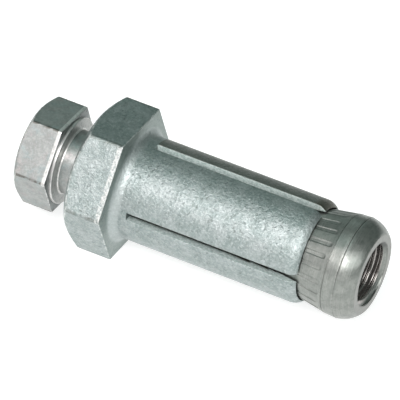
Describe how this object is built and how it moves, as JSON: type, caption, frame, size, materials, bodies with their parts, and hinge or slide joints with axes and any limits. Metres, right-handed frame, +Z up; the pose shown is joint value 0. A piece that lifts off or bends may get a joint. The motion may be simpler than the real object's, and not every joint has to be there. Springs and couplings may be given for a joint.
{
  "type": "expansion wall anchor",
  "caption": "Expansion anchor: hex-head bolt through a hexagonal collar with a slotted sleeve, whose legs a knurled cone nut spreads behind the wall.",
  "frame": {"origin": "on the anchor's axis, in the collar's bearing face, which is the mouth of the hole in the wall", "axes": "+X along the axis into the wall, towards the cone nut's nose; +Z up, square to a pair of the collar's flats; slots at +Y, +Z, -Y and -Z"},
  "size_m": [0.0897, 0.0382, 0.033],
  "materials": {
    "sleeve_zinc": "satin",
    "nut_steel": "satin",
    "bolt_zinc": "satin"
  },
  "bodies": {
    "collar": {"collar": "sleeve_zinc"},
    "leg_1": {"leg_1": "sleeve_zinc"},
    "leg_2": {"leg_2": "sleeve_zinc"},
    "leg_3": {"leg_3": "sleeve_zinc"},
    "leg_4": {"leg_4": "sleeve_zinc"},
    "cone_nut": {"cone_nut": "nut_steel"},
    "bolt_carrier": {"washer_face_ring": "bolt_zinc"},
    "bolt": {"bolt": "bolt_zinc"}
  },
  "joints": [
    {"name": "bolt_run_in", "type": "slide", "parent": "collar", "child": "bolt_carrier", "axis": [1, 0, 0], "range_m": [0, 0.00561]},
    {"name": "bolt_turn", "type": "hinge", "parent": "bolt_carrier", "child": "bolt", "pos_m": [-0.01678, 0, 0], "axis": [1, 0, 0], "range_deg": [0, 3168.5]},
    {"name": "cone_draw", "type": "slide", "parent": "collar", "child": "cone_nut", "axis": [-1, 0, 0], "range_m": [0, 0.012]},
    {"name": "leg_1_splay", "type": "hinge", "parent": "collar", "child": "leg_1", "pos_m": [0.0042, 0.0091, 0.0091], "axis": [0, -0.7071, 0.7071], "range_deg": [0, 5.38]},
    {"name": "leg_2_splay", "type": "hinge", "parent": "collar", "child": "leg_2", "pos_m": [0.0042, -0.0091, 0.0091], "axis": [0, -0.7071, -0.7071], "range_deg": [0, 5.38]},
    {"name": "leg_3_splay", "type": "hinge", "parent": "collar", "child": "leg_3", "pos_m": [0.0042, -0.0091, -0.0091], "axis": [0, 0.7071, -0.7071], "range_deg": [0, 5.38]},
    {"name": "leg_4_splay", "type": "hinge", "parent": "collar", "child": "leg_4", "pos_m": [0.0042, 0.0091, -0.0091], "axis": [0, 0.7071, 0.7071], "range_deg": [0, 5.38]}
  ],
  "couplings": [
    {"joint": "bolt_turn", "follows": "cone_draw", "rad_per_m": 4607.7},
    {"joint": "bolt_run_in", "follows": "cone_draw", "ratio": 0.46667},
    {"joint": "leg_1_splay", "follows": "cone_draw", "rad_per_m": 7.8},
    {"joint": "leg_2_splay", "follows": "cone_draw", "rad_per_m": 7.8},
    {"joint": "leg_3_splay", "follows": "cone_draw", "rad_per_m": 7.8},
    {"joint": "leg_4_splay", "follows": "cone_draw", "rad_per_m": 7.8}
  ]
}
